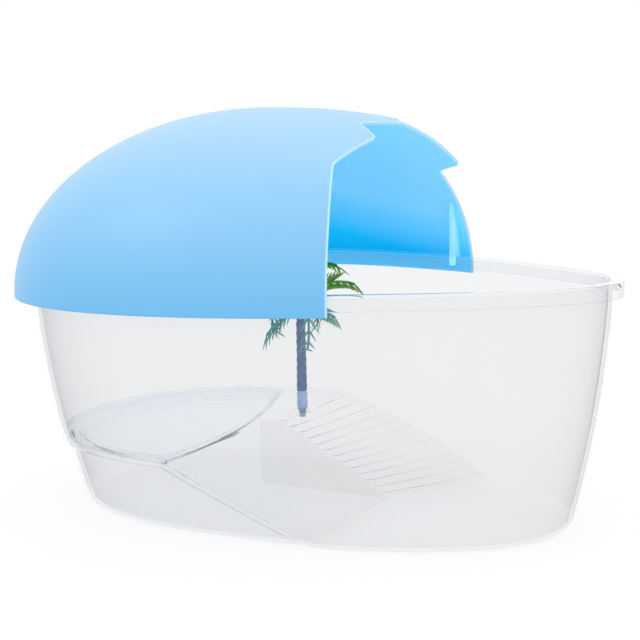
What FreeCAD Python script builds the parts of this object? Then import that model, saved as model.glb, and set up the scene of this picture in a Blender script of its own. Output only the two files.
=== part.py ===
import FreeCAD, Part
import math
import os

# Turtle tank: a clear egg-shaped tub, a clear insert that makes a shore, and a cracked-eggshell cover.
# Millimetres. +X runs along the tub to the open end, +Y goes to the back, +Z is up, and z = 0 is the table.

V = FreeCAD.Vector

# Tub plan at the rim and at the floor. An egg plan is x = a cos t, y = b sin t (1 - egg cos t).
rim_length = 340.0
rim_half_width = 118.5
rim_egg = 0.33
rim_square = 1.95
floor_length = 286.0
floor_half_width = 84.5
floor_egg = 0.16
floor_square = 2.26
floor_shift = -1.0

# Tub heights and walls. The wall leans in and bulges on its way down from the rim to the floor.
tub_height = 131.0
flange_share = 0.21
wall_lean = 0.30
wall_bulge = 0.44
wall = 2.2
floor_thickness = 2.5
floor_round = 6.0
skirt_height = 8.0
skirt_wall = 1.8
flange_thickness = 2.0
rim_round = 1.6

# Ledge that the insert sits on: the wall under it stands further in.
ledge_height = 38.5
ledge_step = 3.4
ledge_end = -39.0
near_foot = 38.0
far_foot = 66.0
slope_gap = 0.8

# Insert: platform with a dished basin, a smooth slope in front and a ridged ramp behind.
sheet = 2.0
insert_gap = 0.5
divide = 12.0
ramp_top_near = -33.0
ramp_top_far = -37.0
ramp_foot_near = 36.0
ramp_foot_far = 92.0
ramp_reach = 90.0
slope_reach = 110.0
basin_depth = 4.0
basin_margin = 7.5
basin_front = -41.0
basin_front_radius = 330.0
basin_turn = -60.0
basin_round = 3.0
ridge_count = 13
ridge_radius = 1.5
ridge_stand = 1.0
brace_thickness = 1.8
brace_start = -46.0
socket_depth = 3.3
socket_wall = 1.5
socket_gap = 0.15

# Cover: half an eggshell that hangs over the rim on four ribs.
cover_gap = 1.3
cover_wall = 2.0
cover_height = 99.7
cover_drop = 10.0
cover_top_shift = -31.7
crack_line = 50.0
crack_round = 2.0
crack = [(-1.02, 10.0), (-0.87, 4.5), (-0.64, -4.8), (-0.36, 4.4), (-0.24, -11.0), (-0.085, 5.0),
         (0.17, -9.0), (0.4, 1.0), (0.62, 9.0), (0.76, -9.5), (0.89, -4.0), (1.02, 1.0)]
rib_thickness = 2.0
rib_width = 6.2
rib_tab = 5.0
rib_top = 45.0
rib_clearance = 0.5
front_rib = 41.5
rear_rib = -112.0

# Palm: a ringed trunk with a peg, and three whorls of fronds stacked on its top pin.
palm_x = -39.5
palm_y = 50.5
trunk_height = 64.0
trunk_base_radius = 3.3
trunk_top_radius = 2.7
trunk_rings = 12
ring_stand = 0.35
peg_radius = 2.0
peg_length = 5.0
pin_radius = 1.4
pin_gap = 0.1
collar_radius = 3.4
collar_height = 3.0
crown_cap = 1.2
frond_root = 0.35
frond_rib_width = 1.8
frond_rib_thickness = 1.3
leaflet_pairs = 8
leaflet_length = 13.0
leaflet_taper = 0.4
leaflet_width = 1.9
leaflet_thickness = 0.7
leaflet_sweep = 40.0

# Fronds of each whorl, in order round the collar from its turn: how far each reaches, how high it is half way,
# how high its end is and how its leaflets dip.
lower_turn = -52.0
lower_fronds = [(23.0, 5.0, -24.0, 15.0), (21.0, -2.6, -8.0, 65.0), (23.0, 2.0, -15.0, 40.0),
                (23.0, 3.0, -18.0, 40.0), (23.0, -6.0, -17.0, 55.0)]
middle_turn = 24.0
middle_fronds = [(33.0, 9.5, 8.8, 60.0)] * 5
upper_turn = -12.0
upper_fronds = [(29.0, 18.0, 19.0, 35.0), (24.0, 3.5, 7.0, -50.0)] + [(29.0, 18.0, 19.0, 35.0)] * 3

plan_points = 24
trunk_foot = ledge_height + wall + sheet - socket_depth
top_z = tub_height
seat_z = ledge_height + wall
insert_top = seat_z + sheet
lip_z = tub_height - cover_drop


def signed_power(value, power):
    return math.copysign(abs(value) ** power, value)


def egg_point(plan, t):
    a, b, egg, square, shift = plan
    c, s = math.cos(t), math.sin(t)
    x = shift + a * signed_power(c, 2 / square)
    y = b * signed_power(s, 2 / square) * (1 - egg * c)
    return x, y


# Closed curve of a plan at height z, moved in by inset along its normals.
def egg_wire(plan, z, inset=0.0):
    points = []
    small = 0.5 * math.pi / plan_points
    for i in range(plan_points):
        t = 2 * math.pi * i / plan_points
        x, y = egg_point(plan, t)
        x0, y0 = egg_point(plan, t - small)
        x1, y1 = egg_point(plan, t + small)
        length = math.hypot(x1 - x0, y1 - y0)
        points.append(V(x - inset * (y1 - y0) / length, y + inset * (x1 - x0) / length, z))
    curve = Part.BSplineCurve()
    curve.interpolate(Points=points, PeriodicFlag=True)
    return Part.Wire([curve.toShape()])


def prism(wire, height):
    return Part.Face(wire).extrude(V(0, 0, height))


def polygon_prism(points, along):
    wire = Part.makePolygon(points + [points[0]])
    return Part.Face(wire).extrude(along)


rim_plan = (rim_length / 2, rim_half_width, rim_egg, rim_square, 0.0)
floor_plan = (floor_length / 2, floor_half_width, floor_egg, floor_square, floor_shift)


# Plan of the tub's outer wall at height z, between the rim's plan and the floor's.
def wall_plan(z):
    down = 1 - z / (tub_height - skirt_height)
    share = flange_share + wall_lean * down + wall_bulge * down * abs(down)
    return tuple(r + (f - r) * share for r, f in zip(rim_plan, floor_plan))


# Solid inside the wall, from bottom to top, with a rounded foot.
def wall_body(bottom, top, inset, radius):
    steps = 6
    heights = [bottom + (top - bottom) * i / steps for i in range(steps + 1)]
    body = Part.makeLoft([egg_wire(wall_plan(z), z, inset) for z in heights], True)
    foot = [e for e in body.Edges if e.BoundBox.ZMax < bottom + 0.01]
    return body.makeFillet(radius, foot)


# Space below the ledge line, which runs level and then down to the floor on each side.
def under_ledge(lift):
    low = -20.0
    depth = rim_length
    high = ledge_height + lift
    solids = []
    for foot, y, along in ((near_foot, -depth, depth + divide), (far_foot, divide, depth)):
        slope = (seat_z - floor_thickness) / (foot - ledge_end)
        turn = ledge_end - slope_gap
        end = turn + (high - low) / slope
        points = [V(-depth, y, low), V(-depth, y, high), V(turn, y, high), V(end, y, low)]
        solids.append(polygon_prism(points, V(0, along, 0)))
    return solids[0].fuse(solids[1])


def stepped_body(bottom, inset, radius, lift):
    full = wall_body(bottom, top_z + lift, inset, radius)
    narrow = wall_body(bottom, top_z + lift, inset + ledge_step, radius)
    space = under_ledge(lift)
    return full.cut(space).fuse(narrow.common(space))


def make_tub():
    outside = stepped_body(0.0, 0.0, floor_round, 0.0)
    inside = stepped_body(floor_thickness, wall, floor_round - wall, wall)
    block = prism(egg_wire(rim_plan, top_z - skirt_height), skirt_height)
    edge = [e for e in block.Edges if e.BoundBox.ZMin > top_z - 0.01]
    block = block.makeFillet(rim_round, edge)
    hollow = prism(egg_wire(rim_plan, top_z - skirt_height, skirt_wall), skirt_height - flange_thickness)
    return block.cut(hollow).fuse(outside).cut(inside)


# Upper side of the insert: level platform, straight slope in front and fanned ramp behind.
def insert_mass(drop):
    depth = rim_length
    low = -20.0
    high = insert_top - drop
    foot = floor_thickness + sheet - drop
    back = [V(-depth, divide, low), V(-depth, divide, high), V(ramp_top_near, divide, high),
            V(ramp_foot_near, divide, foot), V(ramp_foot_near, divide, low)]
    y = divide - 2 * slope_reach
    top_x = 2 * ledge_end - ramp_top_near
    foot_x = 2 * near_foot - ramp_foot_near
    front = [V(-depth, y, low), V(-depth, y, high), V(top_x, y, high), V(foot_x, y, foot), V(foot_x, y, low)]
    wires = [Part.makePolygon(w + [w[0]]) for w in (front, back)]
    near = Part.makeLoft(wires, True, True)
    y = divide + ramp_reach
    wide = [V(-depth, y, low), V(-depth, y, high), V(ramp_top_far, y, high), V(ramp_foot_far, y, foot),
            V(ramp_foot_far, y, low)]
    wires = [Part.makePolygon(w + [w[0]]) for w in (back, wide)]
    return near.fuse(Part.makeLoft(wires, True, True))


def basin_space(grow):
    bottom = insert_top - basin_depth - grow
    height = 2 * (basin_depth + grow)
    inset = wall + insert_gap + basin_margin - grow
    plan = prism(egg_wire(wall_plan(insert_top), bottom, inset), height)
    centre = V(basin_front - basin_front_radius, basin_turn, bottom)
    space = plan.common(Part.makeCylinder(basin_front_radius + grow, height, centre))
    foot = [e for e in space.Edges if e.BoundBox.ZMax < bottom + 0.01]
    return space.makeFillet(basin_round + grow, foot)


def ridge(share):
    near = V(ramp_top_near + (ramp_foot_near - ramp_top_near) * share, divide, 0)
    far = V(ramp_top_far + (ramp_foot_far - ramp_top_far) * share, divide + ramp_reach, 0)
    height = insert_top + (floor_thickness + sheet - insert_top) * share - ridge_radius + ridge_stand
    start = near + V(0, 0, height)
    run = far - near
    return Part.makeCylinder(ridge_radius, run.Length, start, run)


def make_insert():
    upper = insert_mass(0.0).cut(basin_space(0.0))
    lower = insert_mass(sheet).cut(basin_space(sheet))
    skin = upper.cut(lower)
    ridges = [ridge((i + 0.5) / ridge_count) for i in range(ridge_count)]
    high = insert_top - sheet / 2
    foot = floor_thickness + sheet / 2
    side = [V(brace_start, divide, floor_thickness), V(brace_start, divide, high),
            V(ramp_top_near, divide, high), V(ramp_foot_near, divide, foot),
            V(ramp_foot_near, divide, floor_thickness)]
    brace = polygon_prism(side, V(0, -brace_thickness, 0))
    skin = skin.fuse(ridges + [brace])
    inside = wall_body(floor_thickness, insert_top + ridge_radius, wall + insert_gap, floor_round - wall)
    bore = trunk_base_radius + socket_gap
    cup = Part.makeCylinder(bore + socket_wall, socket_depth + sheet, V(palm_x, palm_y, trunk_foot - sheet))
    seat = Part.makeCylinder(bore, 3 * socket_depth, V(palm_x, palm_y, trunk_foot))
    hole = Part.makeCylinder(peg_radius + socket_gap, 3 * sheet, V(palm_x, palm_y, trunk_foot - 2 * sheet))
    return skin.common(inside).fuse(cup).cut(seat.fuse(hole))


# Cover: each level is the lip's plan shrunk towards the crown.
def cover_body(inset):
    plan = tuple(rim_plan)
    half = plan[0]
    levels = 9
    wires = []
    outline = cover_gap + cover_wall - inset
    height = cover_height - inset
    for i in range(levels):
        angle = 0.5 * math.pi * i / levels
        scale = math.cos(angle)
        z = lip_z + height * math.sin(angle)
        wire = egg_wire(plan, 0.0, -outline)
        matrix = FreeCAD.Matrix()
        matrix.scale(V(scale, scale, 1))
        moved = wire.transformGeometry(matrix)
        moved.translate(V(cover_top_shift * (1 - scale), 0, z))
        wires.append(moved)
    peak = Part.Vertex(V(cover_top_shift, 0, lip_z + height))
    return Part.makeLoft(wires + [peak], True)


# Half the width of a plan at x.
def half_width(plan, x):
    low = 0.0
    high = math.pi
    for _ in range(40):
        middle = 0.5 * (low + high)
        if egg_point(plan, middle)[0] > x:
            low = middle
        else:
            high = middle
    return egg_point(plan, low)[1]


# Space in front of the cracked edge, with its points rounded.
def crack_space():
    low = lip_z - cover_height
    half = half_width(rim_plan, crack_line)
    line = [V(crack_line + reach, share * half, low) for share, reach in crack]
    ends = [V(line[-1].x, rim_length, low), V(rim_length, rim_length, low),
            V(rim_length, -rim_length, low), V(line[0].x, -rim_length, low)]
    space = polygon_prism(line + ends, V(0, 0, 3 * cover_height))
    sharp = []
    for edge in space.Edges:
        centre = edge.BoundBox.Center
        near = min(math.hypot(centre.x - p.x, centre.y - p.y) for p in line)
        if edge.BoundBox.ZLength > cover_height and near < 0.01:
            sharp.append(edge)
    return space.makeFillet(crack_round, sharp)


# Locating rib: a plate that steps on the flange and drops a tab inside the wall.
def rib(x, side, room, rim):
    start = half_width(wall_plan(top_z), x) - wall - rib_width
    bottom = top_z - rib_tab
    corner = V(x - rib_thickness / 2, start, bottom)
    plate = Part.makeBox(rib_thickness, rim_half_width, lip_z + rib_top - bottom, corner)
    if side < 0:
        plate = plate.mirror(V(0, 0, 0), V(0, 1, 0))
    return plate.common(room).cut(rim)


def make_cover():
    shell = cover_body(0.0).cut(cover_body(cover_wall))
    room = cover_body(cover_wall / 2)
    rim = prism(egg_wire(rim_plan, lip_z, -2 * cover_gap - 2 * cover_wall), cover_drop)
    rim = rim.cut(prism(egg_wire(wall_plan(top_z), lip_z, wall + rib_clearance), cover_drop))
    ribs = [rib(x, side, room, rim) for x in (front_rib, rear_rib) for side in (-1, 1)]
    return shell.fuse(ribs).cut(crack_space())


def make_trunk():
    step = trunk_height / trunk_rings
    profile = [V(0, 0, -peg_length), V(peg_radius, 0, -peg_length), V(peg_radius, 0, 0)]
    for i in range(trunk_rings):
        radius = trunk_base_radius + (trunk_top_radius - trunk_base_radius) * i / trunk_rings
        profile.append(V(radius - ring_stand, 0, i * step))
        profile.append(V(radius, 0, (i + 1) * step))
    pin_top = trunk_height + 3 * collar_height - crown_cap - pin_gap
    profile += [V(pin_radius, 0, trunk_height), V(pin_radius, 0, pin_top), V(0, 0, pin_top)]
    face = Part.Face(Part.makePolygon(profile + [profile[0]]))
    trunk = face.revolve(V(0, 0, 0), V(0, 0, 1), 360)
    return trunk.translated(V(palm_x, palm_y, trunk_foot))


# Pointed blade from point, along a direction, as wide as width across it.
def blade(point, along, across, length, width):
    middle = point + along * (0.4 * length)
    outline = [point - across * (0.3 * width), middle - across * (0.5 * width), point + along * length,
               middle + across * (0.5 * width), point + across * (0.3 * width)]
    thick = along.cross(across)
    thick.normalize()
    lift = thick * (-0.5 * leaflet_thickness)
    return polygon_prism([p + lift for p in outline], thick * leaflet_thickness)


# Frond that arches away from the pin along +X, in its own frame.
def frond(reach, arch, tip, dip):
    start = V(collar_radius - frond_root, 0, 0)
    arc = Part.Arc(start, V(0.5 * reach, 0, arch), V(reach, 0, tip))
    circle = arc.toShape().Curve
    inner = circle.Radius - frond_rib_thickness / 2
    outer = circle.Radius + frond_rib_thickness / 2
    first, last = arc.FirstParameter, arc.LastParameter

    def spot(share, radius):
        ray = arc.value(first + (last - first) * share) - circle.Center
        return circle.Center + ray * (radius / circle.Radius) - V(0, frond_rib_width / 2, 0)

    edges = [Part.Arc(*[spot(s, outer) for s in (0.0, 0.5, 1.0)]).toShape(),
             Part.makeLine(spot(1.0, outer), spot(1.0, inner)),
             Part.Arc(*[spot(s, inner) for s in (1.0, 0.5, 0.0)]).toShape(),
             Part.makeLine(spot(0.0, inner), spot(0.0, outer))]
    spine = Part.Face(Part.Wire(edges)).extrude(V(0, frond_rib_width, 0))
    sweep = math.radians(leaflet_sweep)
    slope = math.radians(dip)
    leaflets = []
    for i in range(leaflet_pairs + 1):
        share = (i + 1.0) / (leaflet_pairs + 1.0)
        u = first + (last - first) * share
        point = arc.value(u)
        tangent = V(*arc.tangent(u)[0])
        normal = tangent.cross(V(0, 1, 0))
        length = leaflet_length * (1 - leaflet_taper * share)
        if i == leaflet_pairs:
            leaflets.append(blade(point - tangent, tangent, V(0, 1, 0), length, leaflet_width))
            continue
        for side in (-1, 1):
            out = V(0, side, 0) * math.cos(slope) - normal * math.sin(slope)
            along = tangent * math.cos(sweep) + out * math.sin(sweep)
            across = tangent * math.sin(sweep) - out * math.cos(sweep)
            leaflets.append(blade(point, along, across, length, leaflet_width))
    return spine.fuse(leaflets)


# Whorl of fronds round a collar. The level counts the collars below it.
def make_whorl(level, turn, forms, open_top):
    foot = V(0, 0, trunk_foot + trunk_height + level * collar_height)
    collar = Part.makeCylinder(collar_radius, collar_height)
    made = {}
    fronds = []
    for i, form in enumerate(forms):
        if form not in made:
            made[form] = frond(*form)
            made[form].translate(V(0, 0, frond_rib_thickness / 2))
        turned = made[form].copy()
        turned.rotate(V(0, 0, 0), V(0, 0, 1), turn + 360.0 * i / len(forms))
        fronds.append(turned)
    depth = collar_height if open_top else collar_height - crown_cap
    bore = Part.makeCylinder(pin_radius + pin_gap, depth)
    whole = collar.fuse(fronds).cut(bore)
    return whole.translated(V(palm_x, palm_y, 0) + foot)


def run():
    os.makedirs("parts", exist_ok=True)
    pieces = {
        "tank_tub": make_tub(),
        "ramp_insert": make_insert(),
        "dome_cover": make_cover(),
        "palm_trunk": make_trunk(),
        "lower_fronds": make_whorl(0, lower_turn, lower_fronds, True),
        "middle_fronds": make_whorl(1, middle_turn, middle_fronds, True),
        "upper_fronds": make_whorl(2, upper_turn, upper_fronds, False),
    }
    for name, shape in pieces.items():
        box = shape.optimalBoundingBox()
        low = [round(v, 2) for v in (box.XMin, box.YMin, box.ZMin)]
        high = [round(v, 2) for v in (box.XMax, box.YMax, box.ZMax)]
        print(name, shape.isValid(), len(shape.Solids), round(shape.Volume), low, high)
        shape.exportStep("parts/" + name + ".step")


run()
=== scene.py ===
import math

import bmesh
import bpy
import numpy as np
from mathutils import Matrix, Vector


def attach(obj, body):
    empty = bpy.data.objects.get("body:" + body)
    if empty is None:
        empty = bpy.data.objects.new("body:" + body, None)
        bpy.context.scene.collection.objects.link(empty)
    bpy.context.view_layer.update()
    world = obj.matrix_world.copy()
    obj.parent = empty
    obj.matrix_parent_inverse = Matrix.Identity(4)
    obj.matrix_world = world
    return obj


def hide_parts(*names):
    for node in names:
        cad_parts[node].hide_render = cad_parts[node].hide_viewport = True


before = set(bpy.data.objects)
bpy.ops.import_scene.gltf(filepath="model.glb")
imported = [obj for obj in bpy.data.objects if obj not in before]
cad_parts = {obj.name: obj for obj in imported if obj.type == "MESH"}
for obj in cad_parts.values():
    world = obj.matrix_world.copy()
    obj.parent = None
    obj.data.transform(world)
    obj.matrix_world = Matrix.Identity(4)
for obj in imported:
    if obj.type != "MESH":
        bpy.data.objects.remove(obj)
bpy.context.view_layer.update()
mm = 0.001
print("frame loaded:", sorted(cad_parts))

# Camera as the photograph has it: where it looks, from how far and at which angles.
cameraView = {
    "azimuth": 28.33,
    "elevation": 8.24,
    "roll": -1.05,
    "distance": 702.45,
    "target": (1.03, 0.0, 103.38),
    "focalPixels": 1265.67,
    "framePixels": 640.0,
}

# Plans are (half length, half width, egg, squareness, shift) of x = a cos t, y = b sin t (1 - egg cos t).
tubSizes = {
    "rimPlan": (170.0, 118.5, 0.33, 1.95, 0.0),
    "floorPlan": (143.0, 84.5, 0.16, 2.26, -1.0),
    "height": 131.0,
    "skirt": 8.0,
    "share": 0.21,
    "lean": 0.30,
    "bulge": 0.44,
    "wall": 2.2,
    "floor": 2.5,
    "foot": 6.0,
    "skirtWall": 1.8,
    "flange": 2.0,
    "rimRound": 1.6,
    "edgeRound": 0.5,
    "ledge": 38.5,
    "ledgeStep": 3.4,
    "ledgeSoft": 1.5,
    "ledgeTurn": -39.8,
    "nearFoot": 37.2,
    "farFoot": 65.2,
    "divide": 12.0,
    "around": 320,
    "wallSteps": (8, 6, 18),
    "footSteps": 8,
    "roundSteps": 6,
    "floorShares": (0.02, 0.25, 0.5, 0.75, 0.93),
    "uprightFrom": 3.0,
    "uprightOver": 4.0,
}


def signedPower(values, power):
    return np.sign(values) * np.abs(values) ** power


def eggPoint(plan, t):
    a, b, egg, square, shift = plan
    c = np.cos(t)
    s = np.sin(t)
    x = shift + a * signedPower(c, 2 / square)
    y = b * signedPower(s, 2 / square) * (1 - egg * c)
    return x, y


def eggRing(plan, t, inset=0.0):
    # points of a plan, moved in by inset along its normals
    x, y = eggPoint(plan, t)
    x0, y0 = eggPoint(plan, t - 0.03)
    x1, y1 = eggPoint(plan, t + 0.03)
    length = np.hypot(x1 - x0, y1 - y0)
    return x - inset * (y1 - y0) / length, y + inset * (x1 - x0) / length


def wallPlan(z):
    # the tub's outer wall at height z, between the rim's plan and the floor's
    s = tubSizes
    down = 1 - z / (s["height"] - s["skirt"])
    share = s["share"] + s["lean"] * down + s["bulge"] * down * abs(down)
    return tuple(rim + (floor - rim) * share for rim, floor in zip(s["rimPlan"], s["floorPlan"]))


def halfWidth(plan, x, inset):
    # half width at x of a plan moved in by inset
    ringX, ringY = eggRing(plan, np.linspace(0, math.pi, 721), inset)
    return np.interp(x, ringX[::-1], ringY[::-1])


def addObject(name, data):
    holder = bpy.data.objects.new(name, data)
    bpy.context.scene.collection.objects.link(holder)
    return holder


def makePiece(name, points, faces, attributes=None):
    # points in millimetres become a smooth mesh object at the origin, in metres
    mesh = bpy.data.meshes.new(name)
    mesh.from_pydata((np.asarray(points, float) * mm).tolist(), [], [tuple(int(i) for i in f) for f in faces])
    mesh.polygons.foreach_set("use_smooth", [True] * len(mesh.polygons))
    for key, values in (attributes or {}).items():
        layer = mesh.attributes.new(key, "FLOAT", "POINT")
        layer.data.foreach_set("value", np.asarray(values, np.float32))
    mesh.update()
    return addObject(name, mesh)


def gridFaces(rows, columns, closed=False, flip=False, start=0):
    # quads between neighbouring rows of points
    faces = []
    for i in range(rows - 1):
        for j in range(columns if closed else columns - 1):
            k = (j + 1) % columns
            quad = [i * columns + j, i * columns + k, (i + 1) * columns + k, (i + 1) * columns + j]
            faces.append([start + q for q in (reversed(quad) if flip else quad)])
    return faces


def closedFaces(rings, count, flip=False):
    # quads between rings of points, and a face at each end
    ends = [list(range(count))[::-1], list(range((rings - 1) * count, rings * count))]
    return gridFaces(rings, count, closed=True, flip=flip) + [end[::-1] if flip else end for end in ends]


def revolved(name, profile, sides, wobble=0.0, start=0.0):
    # closed solid of revolution about Z from (radius, z) pairs
    points = []
    for radius, z in profile:
        for j in range(sides):
            angle = 2 * math.pi * (j + start) / sides
            r = radius * (1 + wobble * math.sin(3 * angle) + 0.6 * wobble * math.sin(7 * angle + 1))
            points.append((r * math.cos(angle), r * math.sin(angle), z))
    return makePiece(name, points, closedFaces(len(profile), sides))


def moveMesh(piece, x, y, z):
    piece.data.transform(Matrix.Translation(Vector((x, y, z)) * mm))
    return piece


def paint(piece, material):
    piece.data.materials.clear()
    piece.data.materials.append(material)


def turnOutwards(piece):
    mesh = bmesh.new()
    mesh.from_mesh(piece.data)
    bmesh.ops.recalc_face_normals(mesh, faces=mesh.faces)
    mesh.to_mesh(piece.data)
    mesh.free()
    return piece


def makeFlat(piece):
    piece.data.polygons.foreach_set("use_smooth", [False] * len(piece.data.polygons))
    return piece


def joinPieces(name, pieces):
    # several objects become one, named after the node it stands for
    with bpy.context.temp_override(active_object=pieces[0], selected_editable_objects=pieces):
        bpy.ops.object.join()
    pieces[0].name = name
    pieces[0].data.name = name
    return pieces[0]


def bakeModifiers(piece):
    # the evaluated mesh takes the place of the modifiers
    graph = bpy.context.evaluated_depsgraph_get()
    mesh = bpy.data.meshes.new_from_object(piece.evaluated_get(graph))
    piece.modifiers.clear()
    piece.data = mesh
    return piece


# Nodes: short ways to add them, for materials and for Geometry Nodes.
def setInputs(tree, node, inputs):
    # each input, by name or number, takes another node's output or a plain value
    for key, value in inputs.items():
        socket = node.inputs[key]
        if isinstance(value, bpy.types.NodeSocket):
            tree.links.new(value, socket)
        elif socket.type == "RGBA":
            socket.default_value = (*value, 1.0)
        else:
            socket.default_value = value


def newNode(tree, kind, inputs=None, **settings):
    node = tree.nodes.new(kind)
    for key, value in settings.items():
        setattr(node, key, value)
    setInputs(tree, node, inputs or {})
    return node


def mathNode(tree, operation, *values):
    return newNode(tree, "ShaderNodeMath", dict(enumerate(values)), operation=operation).outputs[0]


def vectorNode(tree, **parts):
    return newNode(tree, "ShaderNodeCombineXYZ", parts).outputs[0]


def newGroup(name, kind, inputs, outputs):
    # a node group, with the kinds of its sockets by name
    tree = bpy.data.node_groups.new(name, kind)
    for way, sockets in (("INPUT", inputs), ("OUTPUT", outputs)):
        for socket, kind in sockets.items():
            tree.interface.new_socket(socket, in_out=way, socket_type="NodeSocket" + kind)
    return tree, newNode(tree, "NodeGroupInput").outputs


def mapRange(tree, value, band, low=0.0, high=1.0):
    limits = {"Value": value, "From Min": band[0], "From Max": band[1], "To Min": low, "To Max": high}
    return newNode(tree, "ShaderNodeMapRange", limits).outputs["Result"]


def mixColors(tree, factor, low, high):
    inputs = {"Factor": factor, "A": low, "B": high}
    return newNode(tree, "ShaderNodeMix", inputs, data_type="RGBA").outputs["Result"]


def heightMix(tree, height, band, low, high):
    # low turns into high between two heights in metres
    return mixColors(tree, mapRange(tree, height, band), low, high)


def attributeOf(tree, name):
    return newNode(tree, "ShaderNodeAttribute", attribute_name=name).outputs["Fac"]


def objectPlace(tree):
    return newNode(tree, "ShaderNodeTexCoord").outputs["Object"]


def placeParts(tree):
    return newNode(tree, "ShaderNodeSeparateXYZ", {0: objectPlace(tree)}).outputs


def noiseOf(tree, scale, detail):
    inputs = {"Vector": objectPlace(tree), "Scale": scale, "Detail": detail}
    return newNode(tree, "ShaderNodeTexNoise", inputs).outputs["Fac"]


def addBump(tree, shader, height, depth):
    bump = newNode(tree, "ShaderNodeBump", {"Height": height, "Distance": depth})
    setInputs(tree, shader, {"Normal": bump.outputs["Normal"]})


# Materials: one shader group for the faint unevenness of moulded plastic, used by every clear or blue piece.
mouldMarks = {"waveDetail": 1.0, "grainScale": 900.0, "grainDetail": 2.0}


def buildMouldGroup():
    inputs = {"Size": "Float", "Waviness": "Float", "Grain": "Float"}
    tree, given = newGroup("mouldMarks", "ShaderNodeTree", inputs, {"Height": "Float", "Mottle": "Float"})
    wave = noiseOf(tree, given["Size"], mouldMarks["waveDetail"])
    grain = noiseOf(tree, mouldMarks["grainScale"], mouldMarks["grainDetail"])
    height = mathNode(tree, "ADD", mathNode(tree, "MULTIPLY", wave, given["Waviness"]),
                      mathNode(tree, "MULTIPLY", grain, given["Grain"]))
    newNode(tree, "NodeGroupOutput", {"Height": height, "Mottle": wave})
    return tree


mouldGroup = buildMouldGroup()


def newMaterial(name):
    material = bpy.data.materials.new(name)
    material.use_nodes = True
    return material, material.node_tree, material.node_tree.nodes["Principled BSDF"]


def addMouldMarks(tree, shader, size, waviness, grain, depth):
    # bump from the shared group, whose mottling comes back
    inputs = {"Size": size, "Waviness": waviness, "Grain": grain}
    marks = newNode(tree, "ShaderNodeGroup", inputs, node_tree=mouldGroup)
    addBump(tree, shader, marks.outputs["Height"], depth)
    return marks.outputs["Mottle"]


# Clear plastic: marks are the size, waviness, grain and depth of its unevenness, mottle its duller share.
clearPlastic = {
    "mottle": 0.985,
    "tub": {"color": (0.938, 0.938, 0.94), "roughness": 0.02, "ior": 1.015, "transmission": 0.955,
            "marks": (25.0, 1.0, 0.0, 0.00005), "coat": 0.04, "coatRoughness": 0.08},
    "insert": {"color": (0.995, 0.995, 0.998), "roughness": 0.05, "ior": 1.018, "transmission": 0.98,
               "marks": (25.0, 1.0, 0.01, 0.0003), "coat": 0.05, "coatRoughness": 0.08},
    "wallEdge": (0.66, 0.66, 0.68),
    "wallPower": 3.0,
    "rim": (0.962, 0.962, 0.966),
    "rimBand": (0.1225, 0.1235),
    "dish": (0.96, 0.972, 1.0),
    "dishCoat": 0.65,
    # painted shade: the greyer colour of the upright brace under the platform
    "panelShade": (0.965, 0.965, 0.965),
}


def clearMaterial(name, values):
    # what both clear pieces have, and their mottled colour
    material, tree, shader = newMaterial(name)
    mottle = addMouldMarks(tree, shader, *values["marks"])
    dull = tuple(c * clearPlastic["mottle"] for c in values["color"])
    setInputs(tree, shader, {
        "Roughness": values["roughness"], "IOR": values["ior"], "Transmission Weight": values["transmission"],
        "Coat Weight": values["coat"], "Coat Roughness": values["coatRoughness"]})
    return material, tree, shader, mixColors(tree, mottle, dull, values["color"])


def tubMaterial():
    look = clearPlastic
    material, tree, shader, body = clearMaterial("clearTub", look["tub"])
    body = heightMix(tree, placeParts(tree)["Z"], look["rimBand"], body, look["rim"])
    # walls seen along their length are thicker to the eye, so they are greyer there
    facing = newNode(tree, "ShaderNodeLayerWeight").outputs["Facing"]
    steep = mathNode(tree, "POWER", facing, look["wallPower"])
    share = mathNode(tree, "MULTIPLY", steep, attributeOf(tree, "upright"))
    setInputs(tree, shader, {"Base Color": mixColors(tree, share, body, look["wallEdge"])})
    return material


def insertMaterial():
    # the dish is faintly blue and glossy; the upright brace under the platform is greyer, a painted shade
    look = clearPlastic
    material, tree, shader, body = clearMaterial("clearInsert", look["insert"])
    dish = attributeOf(tree, "dish")
    body = mixColors(tree, dish, body, look["dish"])
    body = mixColors(tree, attributeOf(tree, "panelShade"), body, look["panelShade"])
    gloss = mapRange(tree, dish, (0.0, 1.0), look["insert"]["coat"], look["dishCoat"])
    setInputs(tree, shader, {"Base Color": body, "Coat Weight": gloss})
    return material


coverLook = {
    "marks": (18.0, 0.5, 0.06, 0.0004),
    # painted light: the outside's colour grows lighter towards the top, a painted sheen from light falling
    # from above
    "outside": {"band": (0.123, 0.212), "low": (0.14, 0.43, 0.72), "high": (0.32, 0.55, 0.77)},
    # painted light and shade: the inside is deep blue low down and lighter higher up and towards +x
    "inside": {"band": (0.132, 0.162), "low": (0.0, 0.55, 0.88), "high": (0.33, 0.74, 0.92)},
    "insideLitSlant": 0.2,
    # painted light: emission colour that makes the inside glow, more at the lip
    "insideGlow": {"band": (0.1305, 0.1315), "low": (0.05, 0.27, 0.50), "high": (0.0, 0.11, 0.27)},
    # painted highlight: the pale colour near the cracked edge and on the ribs
    "edge": (0.48, 0.78, 0.95),
    "edgeWidth": 1.0,
    "roughness": 0.38,
    "ior": 1.45,
    "specular": 0.15,
    "coat": 0.25,
    "coatRoughness": 0.3,
}


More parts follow.
